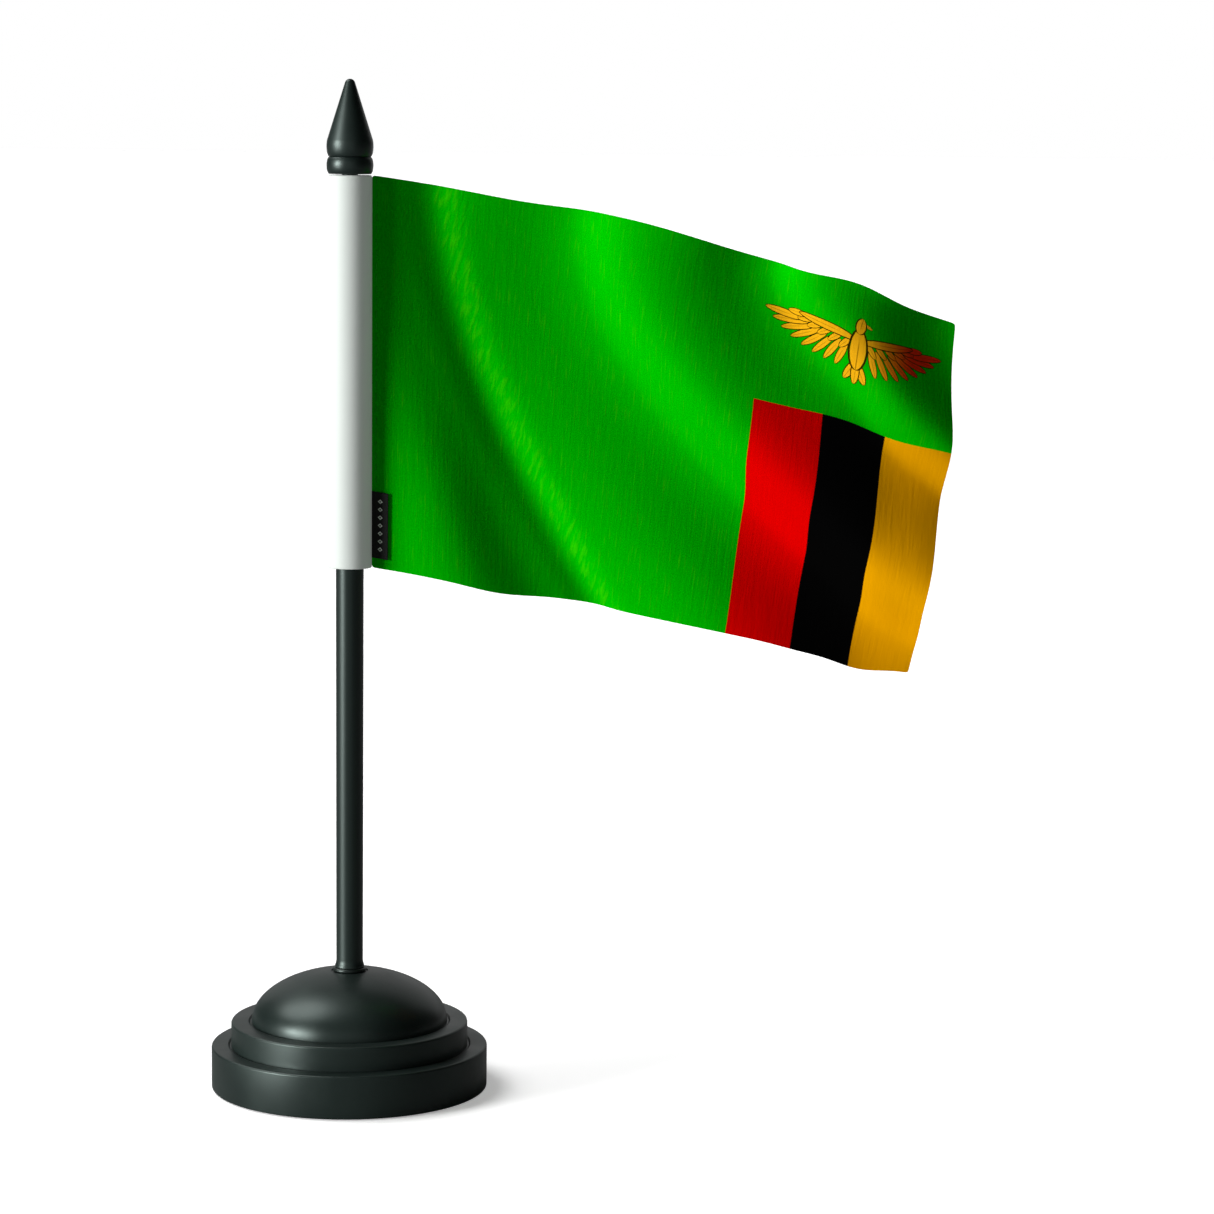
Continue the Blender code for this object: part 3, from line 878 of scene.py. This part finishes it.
def clothFinish():
    material, tree, shader = newMaterial("flagSatin")
    shader.inputs["Specular IOR Level"].default_value = 0.0
    uv = addNode(tree, "ShaderNodeUVMap", uv_map="UVMap").outputs["UV"]
    split = addNode(tree, "ShaderNodeSeparateXYZ", {0: uv})
    fuzz = maths(tree, "MULTIPLY_ADD", noise(tree, uv, 900.0, 1.0), 0.0016, -0.0008)
    across = maths(tree, "ADD", split.outputs["X"], fuzz)
    up = maths(tree, "ADD", split.outputs["Y"], fuzz)

    def past(value, line):
        return remap(tree, value, line - flagPrint["blur"], line + flagPrint["blur"])

    streaks = noise(tree, stretch(tree, uv, (330.0, 13.0, 1.0), 2.0), 1.0, 3.0)
    crinkle = noise(tree, stretch(tree, uv, (130.0, 9.0, 1.0), 3.0), 1.0, 5.0)
    # the streaks bump the cloth and set its roughness, and where they are high the colour is mixed towards a
    # lighter yellow green: a painted sheen
    paintedSheenStreaks = remap(tree, streaks, 0.55, 0.8, 0.0, 0.6)
    green = mixColour(tree, paintedSheenStreaks, flagPrint["green"], flagPrint["paintedStreakSheenGreen"])
    # the sharpest fold puckers: short slanting rucks on both sides of its line. They bump the surface, and
    # they are also painted into the colour as a lighter yellow green sheen
    top, bottom, bend = clothFolds[2][:3]
    out = maths(tree, "MULTIPLY", split.outputs["X"], cloth["fly"] / mm)
    rise = maths(tree, "MULTIPLY", split.outputs["Y"], cloth["hoist"] / mm)
    down = maths(tree, "POWER", maths(tree, "SUBTRACT", 1.0, split.outputs["Y"]), bend)
    line = maths(tree, "MULTIPLY_ADD", down, bottom - top, top + 5.0)
    beside = maths(tree, "ABSOLUTE", maths(tree, "SUBTRACT", out, line))
    slant = maths(tree, "MULTIPLY_ADD", rise, -0.25, out)
    ruck = addNode(tree, "ShaderNodeCombineXYZ", {0: slant, 1: maths(tree, "MULTIPLY", rise, 0.2)})
    ruck = noise(tree, ruck.outputs["Vector"], 0.9, 2.0)
    ruck = maths(tree, "MULTIPLY", ruck, remap(tree, beside, 2.0, 9.0, 1.0, 0.0))
    # painted sheen: the rucks lighten the green
    green = mixColour(tree, remap(tree, ruck, 0.45, 0.70, 0.0, 0.5), green, flagPrint["paintedRuckSheenGreen"])
    bars = mixColour(tree, past(across, flagPrint["blackFrom"]), flagPrint["red"], flagPrint["black"])
    bars = mixColour(tree, past(across, flagPrint["orangeFrom"]), bars, flagPrint["orange"])
    below = maths(tree, "SUBTRACT", 1.0, past(up, flagPrint["barsTop"]))
    block = maths(tree, "MULTIPLY", past(across, flagPrint["redFrom"]), below)
    tone = mixColour(tree, block, birdPrint(tree, uv, green), bars)

    # threads run along the flag in X and down it in Y
    weave = placeGroup(tree, threadWeave, point=stretch(tree, uv, (640.0, 400.0, 1.0)), uneven=0.6)
    # painted shade: the hollows between the threads are darkened
    weaveHollowShade = remap(tree, weave.outputs["height"], 0.0, 1.0, 0.16, 0.0)
    tree.links.new(mixColour(tree, weaveHollowShade, tone, (0.0, 0.0, 0.0)), shader.inputs["Base Color"])
    height = maths(tree, "MULTIPLY_ADD", streaks, 0.5, crinkle)
    height = maths(tree, "MULTIPLY_ADD", weave.outputs["height"], 0.1, height)
    height = maths(tree, "MULTIPLY_ADD", ruck, 2.0, height)
    tree.links.new(bump(tree, height, 0.22, 0.0004), shader.inputs["Normal"])
    tree.links.new(remap(tree, streaks, 0.3, 0.7, 0.45, 0.6), shader.inputs["Roughness"])
    return material


def buildFlag(points):
    panel = buildClothGrid("flagPanel", points)
    finer = panel.modifiers.new("finer", "SUBSURF")
    finer.levels = 1
    finer.render_levels = 1
    finer.uv_smooth = "NONE"
    wall = panel.modifiers.new("thickness", "SOLIDIFY")
    wall.thickness = cloth["thickness"]
    wall.offset = 0.0
    applyAll(panel)
    smoothByAngle(panel, 60.0)
    return dress(panel, clothFinish(), "flag", "flag_cloth", "flag_panel")


featherMark = makeFeatherMark()
flagPoints = hangThreads(cloth["columns"], cloth["rows"])
flagPanel = buildFlag(flagPoints)
print("flag hung")


hem = {
    "hole": 2.5 * mm,
    "wall": 0.4 * mm,
    "fold": 0.6 * mm,
    "turns": 96,
    "pale": (0.455, 0.49, 0.465),
    "shade": (0.34, 0.37, 0.35),
    "glow": (0.93, 1.0, 0.95, 1.0),
    "paintedGlowStrength": 0.09,     # painted light: a faint constant glow that lifts the sleeve's shaded side
}


def hemFinish():
    material, tree, shader = newMaterial("hemSatin", roughness=0.6)
    shader.inputs["Specular IOR Level"].default_value = 0.25
    # painted light: the sleeve glows faintly, though it is no lamp, to lift its shaded side
    shader.inputs["Emission Color"].default_value = hem["glow"]
    shader.inputs["Emission Strength"].default_value = hem["paintedGlowStrength"]
    coords = addNode(tree, "ShaderNodeTexCoord")
    split = addNode(tree, "ShaderNodeSeparateXYZ", {0: coords.outputs["Object"]})
    angle = maths(tree, "ARCTAN2", split.outputs["Y"], split.outputs["X"])
    rise = maths(tree, "MULTIPLY", split.outputs["Z"], 4000.0)
    threads = addNode(tree, "ShaderNodeCombineXYZ", {0: maths(tree, "MULTIPLY", angle, 22.0), 1: rise})
    weave = placeGroup(tree, threadWeave, point=threads.outputs["Vector"], uneven=0.5)
    # painted shade: the hollows between the threads are mixed towards the shade colour
    weaveHollowShade = remap(tree, weave.outputs["height"], 0.0, 1.0, 0.14, 0.0)
    tree.links.new(mixColour(tree, weaveHollowShade, hem["pale"], hem["shade"]), shader.inputs["Base Color"])
    tree.links.new(bump(tree, weave.outputs["height"], 0.2, 0.00005), shader.inputs["Normal"])
    return material


def buildSleeve():
    low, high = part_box("flag_sleeve")
    radius, hole, wall, fold = high.x, hem["hole"], hem["wall"], hem["fold"]
    outline = [(hole, high.z - 0.05 * mm), (radius - 2 * fold, high.z)]
    outline += arcPoints((radius - fold, high.z - fold), (fold, fold), 75.0, 0.0, 6)
    outline += [(radius, low.z + fold)]
    outline += arcPoints((radius - wall / 2, low.z + wall / 2), (wall / 2, wall / 2), 0.0, -180.0, 8)
    outline += [(radius - wall, high.z - mm), (radius - wall - fold, high.z - wall), (hole, high.z - wall)]
    sleeve = spunShape("flagSleeve", outline, hem["turns"], closed=True)
    return dress(sleeve, hemFinish(), "flag", "sleeve_cloth", "flag_sleeve")


label = {
    "width": 4.6 * mm,
    "height": 17.1 * mm,
    "lift": 2.6 * mm,
    "thickness": 0.3 * mm,
    "columns": 8,
    "rows": 26,
    "marks": 7,
    "standOff": 0.30 * mm,
    "curl": 0.45 * mm,
    "ground": (0.004, 0.005, 0.004),
    "ink": (0.55, 0.62, 0.54),
}


def labelFinish():
    # black damask with a plain row of pale lozenges
    material, tree, shader = newMaterial("labelDamask", roughness=0.7)
    shader.inputs["Specular IOR Level"].default_value = 0.2
    uv = addNode(tree, "ShaderNodeUVMap", uv_map="UVMap").outputs["UV"]
    split = addNode(tree, "ShaderNodeSeparateXYZ", {0: uv})
    weave = placeGroup(tree, threadWeave, point=stretch(tree, uv, (34.0, 126.0, 1.0)), uneven=0.2)
    run = remap(tree, split.outputs["Y"], 0.08, 0.92, 0.0, 1.0, "LINEAR")
    run = maths(tree, "MULTIPLY", run, label["marks"])
    beside = maths(tree, "ABSOLUTE", maths(tree, "SUBTRACT", maths(tree, "FRACT", run), 0.5))
    across = maths(tree, "ABSOLUTE", maths(tree, "SUBTRACT", split.outputs["X"], 0.52))
    size = maths(tree, "ADD", maths(tree, "MULTIPLY", across, 1.9), beside)
    mark = remap(tree, size, 0.26, 0.32, 1.0, 0.0)
    ring = maths(tree, "MULTIPLY", mark, remap(tree, size, 0.10, 0.15))
    ends = maths(tree, "ABSOLUTE", maths(tree, "SUBTRACT", split.outputs["Y"], 0.5))
    ends = remap(tree, ends, 0.41, 0.42, 1.0, 0.0)
    tone = mixColour(tree, maths(tree, "MULTIPLY", ring, ends), label["ground"], label["ink"])
    # painted shade: the hollows between the threads are darkened
    weaveHollowShade = remap(tree, weave.outputs["height"], 0.0, 1.0, 0.35, 0.0)
    tree.links.new(mixColour(tree, weaveHollowShade, tone, (0.0, 0.0, 0.0)), shader.inputs["Base Color"])
    tree.links.new(bump(tree, weave.outputs["height"], 0.4, 0.00006), shader.inputs["Normal"])
    return material


def buildLabel(points):
    # the ribbon follows the cloth and stands a little off it towards its free edge
    columns, rows = label["columns"], label["rows"]
    places = np.zeros((columns + 1, rows + 1, 3))
    for i in range(columns + 1):
        for j in range(rows + 1):
            across = (label["width"] * i / columns) / cloth["fly"]
            up = (label["lift"] + label["height"] * j / rows) / cloth["hoist"]
            off = label["standOff"] + label["curl"] * (i / columns) ** 2
            places[i, j] = gridPoint(points, across, up) + gridNormal(points, max(across, 0.01), up) * off
    ribbon = buildClothGrid("sideLabel", places)
    wall = ribbon.modifiers.new("thickness", "SOLIDIFY")
    wall.thickness = label["thickness"]
    wall.offset = 0.0
    soft = ribbon.modifiers.new("edges", "BEVEL")
    soft.width = 0.07 * mm
    soft.segments = 2
    soft.limit_method = "ANGLE"
    applyAll(ribbon)
    smoothByAngle(ribbon, 60.0)
    return dress(ribbon, labelFinish(), "flag", "label_cloth", "side_label")


stitch = {
    "length": 2.1 * mm,
    "pitch": 3.0 * mm,
    "radius": 0.13 * mm,
    "inset": 1.1 * mm,
}


def threadFinish():
    material, tree, shader = newMaterial("seamGreen", roughness=0.6)
    shader.inputs["Specular IOR Level"].default_value = 0.2
    coords = addNode(tree, "ShaderNodeTexCoord")
    twist = noise(tree, stretch(tree, coords.outputs["Object"], (6000.0, 6000.0, 2500.0), 35.0))
    tree.links.new(mixColour(tree, twist, (0.0, 0.22, 0.0), (0.0, 0.38, 0.005)), shader.inputs["Base Color"])
    tree.links.new(bump(tree, twist, 0.5, 0.00003), shader.inputs["Normal"])
    return material


def buildSeam(points):
    # one plump stitch, copied down both faces of the seam beside the sleeve
    selectNothing()
    bpy.ops.mesh.primitive_uv_sphere_add(segments=8, ring_count=6, radius=1.0)
    model = newPiece("stitchModel")
    model.data.transform(Matrix.Diagonal((stitch["radius"], stitch["radius"], stitch["length"] / 2, 1.0)))
    bpy.ops.object.shade_smooth()
    count = int(cloth["hoist"] / stitch["pitch"])
    across = stitch["inset"] / cloth["fly"]
    copies = []
    for side in (1.0, -1.0):
        for number in range(count):
            up = (number + 0.5) / count
            normal = gridNormal(points, 0.02, up)
            place = gridPoint(points, across, up) + normal * side * (cloth["thickness"] / 2 + 0.05 * mm)
            rise = gridPoint(points, across, min(up + 0.01, 1.0)) - gridPoint(points, across, up - 0.01)
            turn = Vector(rise).to_track_quat("Z", "Y").to_matrix().to_4x4()
            copies.append(copyPiece(model, "stitch", Matrix.Translation(place) @ turn))
    bpy.data.objects.remove(model, do_unlink=True)
    seam = joinPieces("seamThread", copies)
    return dress(seam, threadFinish(), "flag", "sleeve_cloth")


flagSleeve = buildSleeve()
sideLabel = buildLabel(flagPoints)
seamThread = buildSeam(flagPoints)
print("sleeve, label and seam built")


room = {
    "span": 40.0,
    "floor": (0.95, 0.95, 0.95),
    "floorBounce": (0.22, 0.22, 0.22),     # what the object sees, so the cloth's shaded sides stay deep
    "floorLift": 0.34,      # extra white that only the camera sees, so the floor fades into the backdrop
    "ambient": 0.03,
}


def buildRoom():
    selectNothing()
    bpy.ops.mesh.primitive_plane_add(size=room["span"], location=(0, 0, 0))
    floor = newPiece("floor")
    material, tree, shader = newMaterial("paleFloor", roughness=0.9)
    shader.inputs["Specular IOR Level"].default_value = 0.1
    rays = addNode(tree, "ShaderNodeLightPath")
    seen = mixColour(tree, rays.outputs["Is Camera Ray"], room["floorBounce"], room["floor"])
    tree.links.new(seen, shader.inputs["Base Color"])
    strength = maths(tree, "MULTIPLY", rays.outputs["Is Camera Ray"], room["floorLift"])
    lift = addNode(tree, "ShaderNodeEmission", {"Strength": strength})
    both = addNode(tree, "ShaderNodeAddShader", {0: shader.outputs["BSDF"], 1: lift.outputs["Emission"]})
    tree.links.new(both.outputs[0], tree.nodes["Material Output"].inputs["Surface"])
    floor.data.materials.append(material)

    world = bpy.data.worlds.new("studio")
    bpy.context.scene.world = world
    world.use_nodes = True
    tree = world.node_tree
    glow = tree.nodes["Background"]
    glow.inputs["Color"].default_value = (1.0, 1.0, 1.0, 1.0)
    rays = addNode(tree, "ShaderNodeLightPath")
    seen = remap(tree, rays.outputs["Is Camera Ray"], 0.0, 1.0, room["ambient"], 1.0, "LINEAR")
    tree.links.new(seen, glow.inputs["Strength"])


# each sun: the side it shines from, its strength, and its softness in degrees
suns = {
    "sideKey": ((-0.85, -0.48, 0.10), 6.5, 24.0),
    "highKey": ((-0.52, 0.10, 0.82), 2.3, 40.0),
}

# each soft box: its place, what it points at, its width and height, and its power
softBoxes = {
    "leftStrip": ((-0.75, -0.45, 0.25), (0.0, 0, 0.1), (0.12, 0.7), 0.6),
    "backGlow": ((0.1, 0.9, 0.5), (0.0, 0, 0.1), (1.6, 0.9), 2.0),
    "frontFill": ((0.1, -1.3, 0.35), (0.05, 0, 0.15), (0.8, 0.8), 1.0),
}


def softSun(name, source, strength, softness):
    data = bpy.data.lights.new(name, "SUN")
    data.energy = strength
    data.angle = math.radians(softness)
    sun = bpy.data.objects.new(name, data)
    bpy.context.scene.collection.objects.link(sun)
    sun.rotation_euler = Vector(source).to_track_quat("Z", "Y").to_euler()


def softBox(name, place, target, size, power):
    data = bpy.data.lights.new(name, "AREA")
    data.shape = "RECTANGLE"
    data.size, data.size_y = size
    data.energy = power
    lamp = bpy.data.objects.new(name, data)
    bpy.context.scene.collection.objects.link(lamp)
    lamp.location = place
    lamp.rotation_euler = (Vector(target) - Vector(place)).to_track_quat("-Z", "Y").to_euler()


view = {
    "place": (0.0661, -0.964, 0.2535),
    "tilt": 82.5,
    "roll": 0.54,
    "lens": 112.2,
    "sensor": 36.0,
}


def buildCamera():
    data = bpy.data.cameras.new("camera")
    data.lens = view["lens"]
    data.sensor_width = view["sensor"]
    data.clip_start = 0.05
    camera = bpy.data.objects.new("camera", data)
    bpy.context.scene.collection.objects.link(camera)
    tilt = Matrix.Rotation(math.radians(view["tilt"]), 4, "X")
    roll = Matrix.Rotation(math.radians(view["roll"]), 4, "Z")
    camera.matrix_world = Matrix.Translation(view["place"]) @ tilt @ roll
    bpy.context.scene.camera = camera


buildRoom()
for name, sun in suns.items():
    softSun(name, *sun)
for name, box in softBoxes.items():
    softBox(name, *box)
buildCamera()
bpy.context.scene.view_settings.view_transform = "Standard"
print("room ready")
